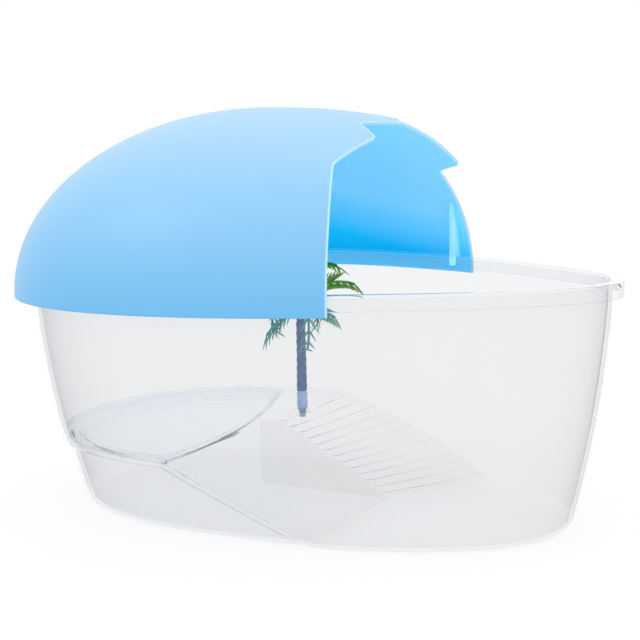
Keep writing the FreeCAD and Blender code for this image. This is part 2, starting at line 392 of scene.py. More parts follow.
def coverMaterial():
    material, tree, shader = newMaterial("blueCover")
    look = coverLook
    addMouldMarks(tree, shader, *look["marks"])
    place = placeParts(tree)
    # painted light and shade inside: lighter higher up and towards +x
    litSlant = mathNode(tree, "MULTIPLY_ADD", place["X"], look["insideLitSlant"], place["Z"])
    inside = attributeOf(tree, "inside")
    # painted light: the outside is lighter towards the top
    body = mixColors(tree, inside, heightMix(tree, place["Z"], **look["outside"]),
                     heightMix(tree, litSlant, **look["inside"]))
    # painted highlight: the cut edge is paler, fading over a short distance from the crack
    edgeHighlight = mapRange(tree, attributeOf(tree, "edge"), (look["edgeWidth"], 0.0))
    # painted light: the inside glows by emission, standing in for light through the thin shell, and glows
    # more at the lip, which hangs on the rim's outer side
    insideGlow = heightMix(tree, place["Z"], **look["insideGlow"])
    setInputs(tree, shader, {
        "Base Color": mixColors(tree, edgeHighlight, body, look["edge"]),
        "Roughness": look["roughness"], "IOR": look["ior"], "Specular IOR Level": look["specular"],
        "Coat Weight": mapRange(tree, inside, (0.0, 1.0), look["coat"], 0.0),
        "Coat Roughness": look["coatRoughness"],
        "Emission Color": mixColors(tree, inside, (0.0, 0.0, 0.0), insideGlow), "Emission Strength": 1.0})
    return material


# The palm: noises are (scale, detail), and bands are heights in metres.
palmLook = {
    "foot": (0.42, 0.56, 0.88),
    "footBand": (0.0508, 0.0512),
    "barkNoise": (500.0, 4.0),
    # the bark's blue is partly painted light, blue light from the cover on a greyer bark; the noise between
    # the two tones is its own grain
    "barkDark": (0.02, 0.06, 0.15),
    "barkLight": (0.10, 0.20, 0.42),
    "barkDepth": 0.0003,
    "barkRoughness": 0.5,
    # painted light: below this band the leaves and their ends take a bluer, darker green, a painted blue cast
    # from the cover
    "leafBand": (0.102, 0.115),
    "leafNoise": (120.0, 3.0),
    "leafMottle": (0.3, 0.7),
    "leafLowShade": (0.01, 0.27, 0.29),
    "leafDark": (0.005, 0.13, 0.006),
    "leafLight": (0.12, 0.42, 0.012),
    "leafDepth": 0.0002,
    "leafRoughness": 0.35,
    "tipLowShade": (0.13, 0.42, 0.12),
    "tipHigh": (0.30, 0.42, 0.03),
}


def barkMaterial():
    material, tree, shader = newMaterial("palmBark")
    look = palmLook
    noise = noiseOf(tree, *look["barkNoise"])
    # bark tones: their own grain, with a blue that is partly painted light from the cover
    bark = mixColors(tree, noise, look["barkDark"], look["barkLight"])
    body = heightMix(tree, placeParts(tree)["Z"], look["footBand"], look["foot"], bark)
    addBump(tree, shader, noise, look["barkDepth"])
    setInputs(tree, shader, {"Base Color": body, "Roughness": look["barkRoughness"]})
    return material


def leafMaterial():
    material, tree, shader = newMaterial("palmLeaf")
    look = palmLook
    noise = noiseOf(tree, *look["leafNoise"])
    height = placeParts(tree)["Z"]
    green = mixColors(tree, mapRange(tree, noise, look["leafMottle"]), look["leafDark"], look["leafLight"])
    # painted light: lower leaves are bluer and darker, a painted blue cast from the cover
    body = heightMix(tree, height, look["leafBand"], look["leafLowShade"], green)
    ends = heightMix(tree, height, look["leafBand"], look["tipLowShade"], look["tipHigh"])
    addBump(tree, shader, noise, look["leafDepth"])
    color = mixColors(tree, attributeOf(tree, "tip"), body, ends)
    setInputs(tree, shader, {"Base Color": color, "Roughness": look["leafRoughness"]})
    return material


materials = {
    "tub": tubMaterial(),
    "insert": insertMaterial(),
    "cover": coverMaterial(),
    "bark": barkMaterial(),
    "leaf": leafMaterial(),
}
print("materials ready:", sorted(materials))


# Tub: one closed skin, built as rings from the middle of the floor's underside, over the rim, to the floor
# inside.
def ledgeHeight(x, y, lift):
    # height of the ledge line at a place on the wall: level at the left, then down to the floor
    s = tubSizes
    top = s["ledge"] + lift
    foot = np.where(y < s["divide"], s["nearFoot"], s["farFoot"])
    slope = (s["ledge"] + s["wall"] - s["floor"]) / (foot - s["ledgeTurn"])
    return np.minimum(top, top - (x - s["ledgeTurn"]) * slope)


def ringPoints(t, z, inset, plan):
    x, y = eggRing(plan, t, inset)
    return np.column_stack([x, y, np.full_like(t, z)])


def wallRing(t, z, inset, lift):
    # one ring of wall points at heights z, with the ledge's step taken in
    x, y = eggRing(wallPlan(z), t, inset)
    under = np.clip((ledgeHeight(x, y, lift) - z) / tubSizes["ledgeSoft"] + 0.5, 0.0, 1.0)
    step = tubSizes["ledgeStep"] * under * under * (3 - 2 * under)
    return ringPoints(t, z, inset + step, wallPlan(z))


def wallHeights(t, low, high, lift):
    # heights of the wall's rings, close together at the ledge
    x, y = eggRing(wallPlan(tubSizes["ledge"]), t)
    soft = 0.6 * tubSizes["ledgeSoft"]
    line = np.clip(ledgeHeight(x, y, lift), low + 2 * soft, high - 2 * soft)
    below, within, above = tubSizes["wallSteps"]
    heights = [low + (line - soft - low) * i / below for i in range(below + 1)]
    heights += [line - soft + 2 * soft * i / within for i in range(1, within)]
    heights += [line + soft + (high - line - soft) * i / above for i in range(above + 1)]
    return heights


def footRings(t, base, radius, inset, lift):
    # rounded foot, from the floor's level up to the wall
    rings = []
    steps = tubSizes["footSteps"]
    for i in range(steps + 1):
        angle = 0.5 * math.pi * i / steps
        z = np.full_like(t, base + radius * (1 - math.sin(angle)))
        rings.append(wallRing(t, z, inset + radius * (1 - math.cos(angle)), lift))
    return rings[::-1]


def makeTub():
    s = tubSizes
    t = np.linspace(0, 2 * math.pi, s["around"], endpoint=False)
    top = s["height"]
    under = top - s["flange"]
    low = top - s["skirt"]
    wall = s["wall"]
    rings = footRings(t, 0.0, s["foot"], 0.0, 0.0)
    middle = rings[0].mean(axis=0)
    rings = [middle + (rings[0] - middle) * share for share in s["floorShares"]] + rings
    for z in wallHeights(t, s["foot"], under - s["edgeRound"], 0.0)[1:]:
        rings.append(wallRing(t, z, 0.0, 0.0))
    # flange and skirt: height, inset and plan of each ring
    r = s["edgeRound"]
    rim = s["rimPlan"]
    skirt = s["skirtWall"]
    profile = [(under, -r, wallPlan(under)), (under, skirt + r, rim), (under - r, skirt, rim),
               (low + r, skirt, rim), (low, skirt - r, rim), (low, r, rim), (low + r, 0.0, rim)]
    big = s["rimRound"]
    for i in range(s["roundSteps"] + 1):
        angle = 0.5 * math.pi * i / s["roundSteps"]
        profile.append((top - big + big * math.sin(angle), big - big * math.cos(angle), rim))
    profile += [(top, wall - 2 * r, wallPlan(top)), (top - 0.3 * r, wall - 0.6 * r, wallPlan(top))]
    rings += [ringPoints(t, *line) for line in profile]
    for z in wallHeights(t, s["floor"] + s["foot"] - wall, top - r, wall)[::-1]:
        rings.append(wallRing(t, z, wall, wall))
    inner = footRings(t, s["floor"], s["foot"] - wall, wall, wall)[::-1]
    rings += inner[1:]
    for share in s["floorShares"][::-1]:
        ring = middle + (inner[-1] - middle) * share
        ring[:, 2] = s["floor"]
        rings.append(ring)
    points = np.vstack(rings)
    upright = np.clip((points[:, 2] - s["uprightFrom"]) / s["uprightOver"], 0.0, 1.0)
    return makePiece("clear_tub", points, closedFaces(len(rings), len(t), flip=True), {"upright": upright})


tub = makeTub()
paint(tub, materials["tub"])
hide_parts("tank_tub")
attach(tub, "root")
print("tub made:", len(tub.data.polygons), "faces")


# Insert: a platform with a dished basin, a smooth slope in front and a fan of ridges behind.
insertSizes = {
    "top": 42.7,
    "sheet": 2.0,
    "gap": 0.5,
    "topLine": ((-39.0, -98.0), (-33.0, 12.0), (-37.0, 102.0)),
    "footLine": ((38.0, -98.0), (36.0, 12.0), (92.0, 102.0)),
    "basinDepth": 4.0,
    "basinMargin": 7.5,
    "basinFront": -41.0,
    "basinRadius": 330.0,
    "basinTurn": -60.0,
    "basinSoft": 5.0,
    "dishSoft": 3.0,
    "ridges": 13,
    "ridgeHeight": 1.0,
    "ridgeHalf": 1.6,
    "perRidge": 12,
    "nearRows": 50,
    "farRows": 44,
    "platformColumns": 90,
    "platformLip": 0.4,
    "edgeGuess": 90.0,
    "edgeRounds": 25,
    "braceStart": -46.0,
    "braceWall": 1.8,
    "braceLift": 0.1,
    "braceGap": 0.4,
    "braceShort": 4.0,
    "socket": {"x": -39.5, "y": 50.5, "bore": 3.45, "wall": 1.5, "depth": 3.3, "hole": 2.15,
               "sides": 48},
}


def alongLine(first, last, y):
    # x on the line from first to last at y
    return first[0] + (last[0] - first[0]) * (y - first[1]) / (last[1] - first[1])


def bentLine(corners, y):
    # x at y on the line through three corners
    near, middle, far = corners
    return np.where(y < middle[1], alongLine(near, middle, y), alongLine(middle, far, y))


def slopeHeight(share):
    foot = tubSizes["floor"] + insertSizes["sheet"]
    return insertSizes["top"] + (foot - insertSizes["top"]) * share


def edgeWidth(share, side):
    # y where a line of equal height on a slope meets the wall
    s = insertSizes
    plan = wallPlan(slopeHeight(share))
    y = side * s["edgeGuess"]
    for _ in range(s["edgeRounds"]):
        start = bentLine(s["topLine"], y)
        x = float(start + (bentLine(s["footLine"], y) - start) * share)
        y = side * float(halfWidth(plan, x, tubSizes["wall"] + s["gap"]))
    return y


def pastFront(x, y):
    # distance from the dish's curved front edge, towards the dish
    s = insertSizes
    return s["basinRadius"] - np.hypot(x - s["basinFront"] + s["basinRadius"], y - s["basinTurn"])


def basinDrop(x, y):
    # depth of the dish below the platform
    s = insertSizes
    t = np.linspace(0, 2 * math.pi, 720, endpoint=False)
    ringX, ringY = eggRing(wallPlan(s["top"]), t, tubSizes["wall"] + s["gap"] + s["basinMargin"])
    nearest = np.hypot(x[:, None] - ringX[::2], y[:, None] - ringY[::2]).min(axis=1)
    ringWidth = np.interp(x, ringX[:361][::-1], np.abs(ringY[:361])[::-1])
    inside = (np.abs(y) < ringWidth) & (x > ringX.min())
    nearest = np.where(inside, nearest, -nearest)
    share = np.clip(np.minimum(nearest, pastFront(x, y)) / s["basinSoft"], 0.0, 1.0)
    return s["basinDepth"] * share * share * (3 - 2 * share)


def slopePatch(side, shares, rows):
    # points of the near (side -1) or far (side 1) slope: one line of equal height for each share
    s = insertSizes
    points = np.zeros((len(shares), rows, 3))
    for i, share in enumerate(shares):
        edge = edgeWidth(share, side)
        k = np.sin(0.5 * math.pi * np.linspace(0, 1, rows))
        middle = s["topLine"][1][1]
        y = middle + (edge - middle) * k
        beside = y + side * 1e-6
        start = bentLine(s["topLine"], beside)
        run = bentLine(s["footLine"], beside) - start
        x = start + run * share
        z = np.full(rows, slopeHeight(share))
        if side > 0:
            pitch = run / s["ridges"]
            centre = (math.floor(min(share, 0.9999) * s["ridges"]) + 0.5) / s["ridges"]
            away = np.abs(share - centre) * s["ridges"] * pitch / s["ridgeHalf"]
            z = z + s["ridgeHeight"] * 0.5 * (1 + np.cos(math.pi * np.clip(away, 0, 1)))
        points[i] = np.column_stack([x, y, z])
    return points


def makeInsert():
    s = insertSizes
    shares = np.linspace(0, 1, s["ridges"] * s["perRidge"] + 1)
    near = slopePatch(-1, shares, s["nearRows"])
    far = slopePatch(1, shares, s["farRows"])
    turn = np.vstack([near[0][::-1], far[0][1:]])
    rim = tubSizes["wall"] + s["gap"]
    t = np.linspace(0.5 * math.pi, 1.5 * math.pi, 1441)
    ringX, ringY = eggRing(wallPlan(s["top"]), t, rim)
    # from the ring's nearest point to its farthest, so that y rises
    left = slice(np.argmin(ringY), np.argmax(ringY) - 1, -1)
    leftX = np.minimum(np.interp(turn[:, 1], ringY[left], ringX[left]), turn[:, 0])
    leftX[[0, -1]] = turn[[0, -1], 0] - s["platformLip"]
    columns = []
    y = turn[:, 1]
    for k in np.linspace(0, 1, s["platformColumns"]):
        x = turn[:, 0] + (leftX - turn[:, 0]) * k
        columns.append(np.column_stack([x, y, s["top"] - basinDrop(x, y)]))
    platform = np.stack(columns)
    points = np.vstack([near.reshape(-1, 3), far.reshape(-1, 3), platform.reshape(-1, 3)])
    farStart = near[..., 0].size
    platformStart = farStart + far[..., 0].size
    faces = gridFaces(*near.shape[:2], flip=True)
    faces += gridFaces(*far.shape[:2], start=farStart)
    faces += gridFaces(*platform.shape[:2], flip=True, start=platformStart)
    # the seam between the two slopes
    nearSeam = [i * near.shape[1] for i in range(near.shape[0])]
    farSeam = [farStart + i * far.shape[1] for i in range(near.shape[0])]
    faces += [[a, b, c, d] for a, b, c, d in zip(nearSeam, nearSeam[1:], farSeam[1:], farSeam)]
    dish = np.clip(pastFront(points[:, 0], points[:, 1]) / s["dishSoft"], 0.0, 1.0)
    sheet = makePiece("clear_insert", points, faces, {"dish": dish})
    mesh = bmesh.new()
    mesh.from_mesh(sheet.data)
    bmesh.ops.remove_doubles(mesh, verts=mesh.verts, dist=0.02 * mm)
    bmesh.ops.recalc_face_normals(mesh, faces=mesh.faces)
    if sum(f.normal.z for f in mesh.faces) < 0:
        bmesh.ops.reverse_faces(mesh, faces=mesh.faces)
    mesh.to_mesh(sheet.data)
    mesh.free()
    solid = sheet.modifiers.new("sheet", "SOLIDIFY")
    solid.thickness = s["sheet"] * mm
    solid.offset = -1.0
    return bakeModifiers(sheet)


def makeBrace():
    # upright wall under the join of slope and ramp
    s = insertSizes
    x1, y = s["topLine"][1]
    foot = s["footLine"][1][0]
    low = tubSizes["floor"] + s["braceLift"]
    clear = s["sheet"] + s["braceGap"]
    x2 = foot - s["braceShort"]
    end = slopeHeight((x2 - x1) / (foot - x1)) - clear
    high = s["top"] - clear
    side = [(s["braceStart"], low), (x2, low), (x2, end), (x1, high), (s["braceStart"], high)]
    points = [(x, y, z) for x, z in side] + [(x, y - s["braceWall"], z) for x, z in side]
    # the brace carries the mask for its painted shade
    return makeFlat(makePiece("brace", points, closedFaces(2, len(side)), {"panelShade": [1.0] * len(points)}))


def addSocket(piece):
    # the cup for the palm's foot: a boss under the sheet, a bore for the trunk and a hole for the peg
    s = insertSizes["socket"]
    top = insertSizes["top"]
    seat = top - s["depth"]
    steps = (("UNION", s["bore"] + s["wall"], seat - insertSizes["sheet"], top - 0.05),
             ("DIFFERENCE", s["bore"], seat, top + 5.0),
             ("DIFFERENCE", s["hole"], seat - 5.0, seat + 1.0))
    for operation, radius, low, high in steps:
        tool = revolved("cutter", [(radius, low), (radius, high)], s["sides"], start=0.5)
        change = piece.modifiers.new("socket", "BOOLEAN")
        change.operation = operation
        change.solver = "EXACT"
        change.object = moveMesh(tool, s["x"], s["y"], 0.0)
    tools = [change.object for change in piece.modifiers]
    bakeModifiers(piece)
    for tool in tools:
        bpy.data.objects.remove(tool)
    return piece


insert = joinPieces("clear_insert", [addSocket(makeInsert()), makeBrace()])
paint(insert, materials["insert"])
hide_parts("ramp_insert")
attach(insert, "root")
print("insert made:", len(insert.data.polygons), "faces")


# Cover: half an eggshell with a zigzag edge, made on a square grid so that the crown has no pole. The crack's
# corners are (share of crackHalf to the side, reach past crackLine).
coverSizes = {
    "gap": 1.3,
    "wall": 2.0,
    "height": 99.7,
    "lip": 121.0,
    "topShift": -31.7,
    "crackLine": 50.0,
    "crackHalf": 102.3,
    "crackRound": 2.0,
    "crack": ((-1.3, 10.0), (-1.02, 10.0), (-0.87, 4.5), (-0.64, -4.8), (-0.36, 4.4), (-0.24, -11.0),
              (-0.085, 5.0), (0.17, -9.0), (0.4, 1.0), (0.62, 9.0), (0.76, -9.5), (0.89, -4.0), (1.02, 1.0),
              (1.3, 1.0)),
    "grid": 190,
    "edgeRound": 0.3,
    "edgeSteps": 7,
    "edgeFar": 9.0,
    "edgeBack": 0.4,
    "ribs": ((41.5, -1), (41.5, 1), (-112.0, -1), (-112.0, 1)),
    "ribWall": 2.0,
    "ribWidth": 6.2,
    "ribTab": 5.0,
    "ribTop": 45.0,
    "ribGap": 0.5,
    "ribStep": 3.0,
    "ribSink": 0.6,
    "ribHighlight": 0.25,
}


def coverPoint(r, t, depth):
    # r runs from 0 at the crown to 1 at the lip
    s = coverSizes
    angle = (1 - r) * 0.5 * math.pi
    scale = np.cos(angle)
    x, y = eggRing(tubSizes["rimPlan"], t, depth - s["gap"] - s["wall"])
    z = s["lip"] + (s["height"] - depth) * np.sin(angle)
    return np.stack([s["topShift"] * (1 - scale) + x * scale, y * scale, z], axis=-1)


def crackCurve():
    # x of the cracked edge against y, with rounded points
    s = coverSizes
    corners = [np.array([s["crackLine"] + reach, share * s["crackHalf"]]) for share, reach in s["crack"]]
    line = [corners[0]]
    for before, here, after in zip(corners, corners[1:], corners[2:]):
        lengths = [np.linalg.norm(corner - here) for corner in (before, after)]
        first = (before - here) / lengths[0]
        last = (after - here) / lengths[1]
        turn = math.acos(max(-1.0, min(1.0, float(first @ last))))
        reach = min(s["crackRound"] / math.tan(turn / 2), 0.45 * min(lengths))
        start = here + first * reach
        end = here + last * reach
        for k in np.linspace(0, 1, 9):
            line.append((1 - k) ** 2 * start + 2 * k * (1 - k) * here + k * k * end)
    line.append(corners[-1])
    line = np.array(line)
    return line[:, 1], line[:, 0]


crackY, crackX = crackCurve()


def pastCrack(points):
    return points[..., 0] - np.interp(points[..., 1], crackY, crackX)


def discPlace(a, b):
    # square grid place (a, b) to (r, t) on a disc
    if abs(a) < 1e-12 and abs(b) < 1e-12:
        return 0.0, 0.0
    if abs(a) > abs(b):
        return abs(a), 0.25 * math.pi * b / a + (math.pi if a < 0 else 0.0)
    return abs(b), 0.5 * math.pi - 0.25 * math.pi * a / b + (math.pi if b < 0 else 0.0)


def clippedShell():
    # grid places and polygons of the shell that lie behind the crack
    s = coverSizes
    n = s["grid"]
    axis = np.linspace(-1, 1, n + 1)
    axis = np.sin(0.5 * math.pi * axis * 0.999) * 0.25 + axis * 0.75
    axis = axis / axis[-1]
    places = [(a, b) for a in axis for b in axis]

    def value(place):
        r, t = discPlace(*place)
        return float(pastCrack(coverPoint(np.array(r), np.array(t), 0.0)))

    def crossing(p, q, gp, gq):
        # place on the edge from p to q where the crack lies
        for _ in range(6):
            k = gp / (gp - gq)
            m = tuple(u + (v - u) * min(max(k, 0.02), 0.98) for u, v in zip(p, q))
            gm = value(m)
            if abs(gm) < 1e-4:
                return m
            if (gm > 0) == (gp > 0):
                p, gp = m, gm
            else:
                q, gq = m, gm
        return m

    values = [value(p) for p in places]
    width = n + 1
    edges = [(i * width + j, i * width + j + step) for i in range(width) for j in range(width)
             for step, isEdge in ((width, i < n), (1, j < n)) if isEdge]
    for here, there in edges:
        if values[here] * values[there] < 0:
            k = values[here] / (values[here] - values[there])
            if k < 0.25 or k > 0.75:
                near = here if k < 0.25 else there
                places[near] = crossing(places[here], places[there], values[here], values[there])
                values[near] = 0.0
    made = {}
    faces = []
    for i in range(n):
        for j in range(n):
            quad = [i * width + j, (i + 1) * width + j, (i + 1) * width + j + 1, i * width + j + 1]
            if all(values[q] >= 0 for q in quad):
                continue
            if all(values[q] <= 0 for q in quad):
                faces.append(quad)
                continue
            face = []
            for here, there in zip(quad, quad[1:] + quad[:1]):
                if values[here] <= 0:
                    face.append(here)
                if values[here] * values[there] < 0:
                    key = (min(here, there), max(here, there))
                    if key not in made:
                        made[key] = len(places)
                        places.append(crossing(places[here], places[there], values[here], values[there]))
                    face.append(made[key])
            if len(face) > 2:
                faces.append(face)
    used = sorted({v for f in faces for v in f})
    index = {v: i for i, v in enumerate(used)}
    return [places[v] for v in used], [[index[v] for v in f] for f in faces]


def makeShell():
    s = coverSizes
    places, faces = clippedShell()
    polar = np.array([discPlace(*p) for p in places])
    outer = coverPoint(polar[:, 0], polar[:, 1], 0.0)
    inner = coverPoint(polar[:, 0], polar[:, 1], s["wall"])
    count = len(outer)
    # the border's edges are those that only one face has
    directed = dict.fromkeys((a, b) for f in faces for a, b in zip(f, f[1:] + f[:1]))
    border = [e for e in directed if (e[1], e[0]) not in directed]
    out = np.zeros_like(outer)
    depthWay = inner - outer
    depthWay /= np.linalg.norm(depthWay, axis=1)[:, None]
    for a, b in border:
        way = outer[b] - outer[a]
        side = np.cross(way / np.linalg.norm(way), -depthWay[a])
        out[a] += side
        out[b] += side
    rim = sorted({v for e in border for v in e})
    out[rim] /= np.linalg.norm(out[rim], axis=1)[:, None]
    points = [outer, inner]
    steps = s["edgeSteps"]
    index = {v: i for i, v in enumerate(rim)}
    for k in range(1, steps):
        share = k / steps
        depth = 0.5 - 0.5 * math.cos(math.pi * share)
        reach = s["edgeRound"] * math.sin(math.pi * share)
        points.append(outer[rim] * (1 - depth) + inner[rim] * depth + out[rim] * reach)
    solid = [list(f) for f in faces]
    solid += [[count + v for v in reversed(f)] for f in faces]

    def level(v, k):
        if k == 0:
            return v
        if k == steps:
            return count + v
        return 2 * count + (k - 1) * len(rim) + index[v]

    for a, b in border:
        for k in range(steps):
            solid.append([level(b, k), level(a, k), level(a, k + 1), level(b, k + 1)])
    # distance from the cracked edge in millimetres, which the lip isn't part of; the material paints a
    # highlight from it near the crack
    far = s["edgeFar"]
    back = s["edgeBack"]
    cracked = np.abs(pastCrack(outer[rim])) < 0.3
    distance = np.full(count, far)
    for v in np.array(rim)[cracked]:
        distance = np.minimum(distance, np.linalg.norm(outer - outer[v], axis=1))
    levels = [np.where(cracked, 0.0 if k == 1 else back, far) for k in range(1, steps)]
    edge = np.concatenate([distance, distance + back] + levels)
    inside = np.concatenate([np.zeros(count), np.ones(count), np.zeros(len(rim) * (steps - 1))])
    return turnOutwards(makePiece("blue_cover", np.vstack(points), solid, {"edge": edge, "inside": inside}))


def shellWidth(x, z, depth):
    # y of the cover's surface at x and z
    s = coverSizes
    angle = math.asin(min(1.0, (z - s["lip"]) / (s["height"] - depth)))
    scale = math.cos(angle)
    place = (x - s["topShift"] * (1 - scale)) / scale
    return scale * float(halfWidth(tubSizes["rimPlan"], place, depth - s["gap"] - s["wall"]))


def makeRib(name, x, side):
    # plate under the cover that steps on the flange and drops a tab inside the wall
    s = coverSizes
    top = tubSizes["height"]
    tubIn = float(halfWidth(wallPlan(top), x, tubSizes["wall"]))
    start = tubIn - s["ribWidth"]
    foot = top - s["ribTab"]
    outline = [(start, foot), (tubIn - s["ribGap"], foot), (tubIn - s["ribGap"], top)]
    z = top
    while z < s["lip"] + s["ribTop"]:
        y = shellWidth(x, z, s["wall"] - s["ribSink"])
        if y <= start + 0.8:
            break
        outline.append((y, z))
        z += s["ribStep"]
    outline.append((start, z - s["ribStep"]))
    count = len(outline)
    half = 0.5 * s["ribWall"]
    points = [(x + way * half, side * y, z) for way in (-1, 1) for y, z in outline]
    # the ribs take most of the painted highlight
    values = {"edge": [s["ribHighlight"]] * (2 * count), "inside": [1.0] * (2 * count)}
    return makeFlat(turnOutwards(makePiece(name, points, closedFaces(2, count), values)))


ribs = [makeRib("rib" + str(i), x, side) for i, (x, side) in enumerate(coverSizes["ribs"])]
cover = joinPieces("blue_cover", [makeShell()] + ribs)
paint(cover, materials["cover"])
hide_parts("dome_cover")
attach(cover, "root")
print("cover made:", len(cover.data.polygons), "faces")


# Palm: a ringed trunk and three whorls of fronds. Geometry Nodes repeat the rings and each frond's leaflet
# pairs.
palmSizes = {
    "x": -39.5,
    "y": 50.5,
    "foot": 39.4,
    "height": 64.0,
    "baseRadius": 3.3,
    "topRadius": 2.7,
    "rings": 12,
    "ringStand": 0.35,
    "pegRadius": 2.0,
    "pegLength": 5.0,
    "collarRadius": 3.4,
    "collarHeight": 3.0,
    "frondRoot": 0.35,
    "spineWidth": 1.5,
    "spineTaper": 0.55,
    "spineSteps": 25,
    "spineSides": 8,
    "leafletLength": 13.0,
    "leafletTaper": 0.3,
    "leafletThick": 0.4,
    "leafletSweep": 33.0,
    "leafletDroop": 1.2,
    "leafletOutline": ((0.0, 0.28), (0.16, 0.42), (0.4, 0.5), (0.7, 0.34), (0.9, 0.15)),
    "leafletFold": ((-1, -0.25), (0, 0.15), (1, -0.25)),
    "unevenness": 0.08,
    "ringTwist": 0.4,
    "ringSides": 24,
    "wobble": 0.015,
}

# Whorls from the lowest up: leaflets are (pairs, width), and the fronds in order round the collar are (reach,
# height half way, height of the end, dip of the leaflets).
risingFrond = (29.0, 18.0, 19.0, 35.0)
whorls = {
    "lower_fronds": {"turn": -52.0, "leaflets": (7, 1.45),
                     "fronds": [(23.0, 5.0, -24.0, 15.0), (21.0, -2.6, -8.0, 65.0), (23.0, 2.0, -15.0, 40.0),
                                (23.0, 3.0, -18.0, 40.0), (23.0, -6.0, -17.0, 55.0)]},
    "middle_fronds": {"turn": 24.0, "leaflets": (8, 1.9), "fronds": [(33.0, 9.5, 8.8, 60.0)] * 5},
    "upper_fronds": {"turn": -12.0, "leaflets": (8, 1.9),
                     "fronds": [risingFrond, (24.0, 3.5, 7.0, -50.0)] + [risingFrond] * 3},
}


def makeLeaflets(name, dip, width):
    # a pair of pointed blades with a folded midrib and a drooping end, swept forwards and dipped by an angle;
    # the outline is (share of the length, half width as a share of the width)
    s = palmSizes
    sweep = math.radians(s["leafletSweep"])
    slope = math.radians(dip)
    rows = len(s["leafletOutline"])
    points = []
    tips = []
    faces = []
    for side in (-1, 1):
        out = np.array([0.0, side * math.cos(slope), -math.sin(slope)])
        forward = np.array([1.0, 0.0, 0.0])
        along = forward * math.cos(sweep) + out * math.sin(sweep)
        across = side * (out * math.cos(sweep) - forward * math.sin(sweep))
        up = np.cross(along, across)
        start = len(points)
        upper = []
        for k, share in s["leafletOutline"]:
            half = share * width
            middle = along * (s["leafletLength"] * k) - up * (s["leafletDroop"] * k * k)
            for edge, lift in s["leafletFold"]:
                upper.append(middle + across * (half * edge) + up * (half * lift))
                tips.append(k)
        upper.append(along * s["leafletLength"] - up * s["leafletDroop"])
        tips.append(1.0)
        top = len(upper)
        points += upper + [p - up * s["leafletThick"] for p in upper]
        tips += tips[-top:]
        quads = gridFaces(rows, 3) + gridFaces(rows, 3, flip=True, start=top)
        last = 3 * (rows - 1)
        quads += [[last, last + 1, top - 1], [last + 1, last + 2, top - 1]]
        quads += [[2 * top - 1, top + last + 1, top + last], [2 * top - 1, top + last + 2, top + last + 1]]
        left = [3 * i for i in range(rows)]
        ring = left + [top - 1] + [i + 2 for i in left[::-1]] + [1]
        quads += [[a, b, top + b, top + a] for a, b in zip(ring, ring[1:] + ring[:1])]
        faces += [[start + v for v in q] for q in quads]
    return turnOutwards(makePiece(name, points, faces, {"tip": np.array(tips) ** 2}))


def finishTree(tree, geometry, material):
    # copies become real and take the material
    real = newNode(tree, "GeometryNodeRealizeInstances", {0: geometry}).outputs[0]
    paint = newNode(tree, "GeometryNodeSetMaterial", {"Geometry": real, "Material": material})
    newNode(tree, "NodeGroupOutput", {0: paint.outputs[0]})


def frondTree():
    # an arched spine from the object's own leaflet pair: pairs repeat along it and shrink towards its end
    inputs = {"Pair": "Geometry", "Root": "Vector", "Middle": "Vector", "End": "Vector", "Pairs": "Int",
              "Taper": "Float", "Spine radius": "Float", "Unevenness": "Float", "Seed": "Int",
              "Leaf": "Material"}
    tree, given = newGroup("palmFrond", "GeometryNodeTree", inputs, {"Frond": "Geometry"})
    s = palmSizes
    path = {"Start": given["Root"], "Middle": given["Middle"], "End": given["End"]}
    path["Resolution"] = s["spineSteps"]
    arc = newNode(tree, "GeometryNodeCurveArc", path, mode="POINTS").outputs["Curve"]
    along = {"Curve": arc, "Count": mathNode(tree, "ADD", given["Pairs"], 1.0)}
    spots = newNode(tree, "GeometryNodeCurveToPoints", along, mode="COUNT")
    # pairs get smaller along the spine, and are a little uneven
    index = newNode(tree, "GeometryNodeInputIndex").outputs[0]
    less = mathNode(tree, "MULTIPLY", mathNode(tree, "DIVIDE", index, given["Pairs"]), given["Taper"])
    low = mathNode(tree, "SUBTRACT", 1.0, given["Unevenness"])
    high = mathNode(tree, "ADD", 1.0, given["Unevenness"])
    limits = {2: low, 3: high, "Seed": given["Seed"]}
    chance = newNode(tree, "FunctionNodeRandomValue", limits, data_type="FLOAT").outputs[1]
    scale = mathNode(tree, "MULTIPLY", mathNode(tree, "SUBTRACT", 1.0, less), chance)
    # turns a leaflet pair's +X along the spine
    way = newNode(tree, "ShaderNodeSeparateXYZ", {0: spots.outputs["Tangent"]}).outputs
    fall = mathNode(tree, "ARCTAN2", mathNode(tree, "MULTIPLY", way["Z"], -1.0), way["X"])
    turn = vectorNode(tree, Y=fall)
    # no pair grows on the spine's first point
    first = newNode(tree, "FunctionNodeCompare", {2: index, 3: 0}, data_type="INT", operation="GREATER_THAN")
    copies = newNode(tree, "GeometryNodeInstanceOnPoints", {
        "Points": spots.outputs["Points"], "Instance": given["Pair"], "Rotation": turn, "Scale": scale,
        "Selection": first.outputs[0]})
    # the spine gets thinner towards its end
    done = newNode(tree, "GeometryNodeSplineParameter").outputs["Factor"]
    thin = mathNode(tree, "SUBTRACT", 1.0, mathNode(tree, "MULTIPLY", done, s["spineTaper"]))
    spine = newNode(tree, "GeometryNodeSetCurveRadius", {"Curve": arc, "Radius": thin}).outputs[0]
    ring = {"Resolution": s["spineSides"], "Radius": given["Spine radius"]}
    ring = newNode(tree, "GeometryNodeCurvePrimitiveCircle", ring, mode="RADIUS").outputs["Curve"]
    tube = {"Curve": spine, "Profile Curve": ring, "Fill Caps": True}
    body = newNode(tree, "GeometryNodeCurveToMesh", tube).outputs[0]
    join = newNode(tree, "GeometryNodeJoinGeometry", {0: body})
    tree.links.new(copies.outputs[0], join.inputs[0])
    finishTree(tree, join.outputs[0], given["Leaf"])
    return tree


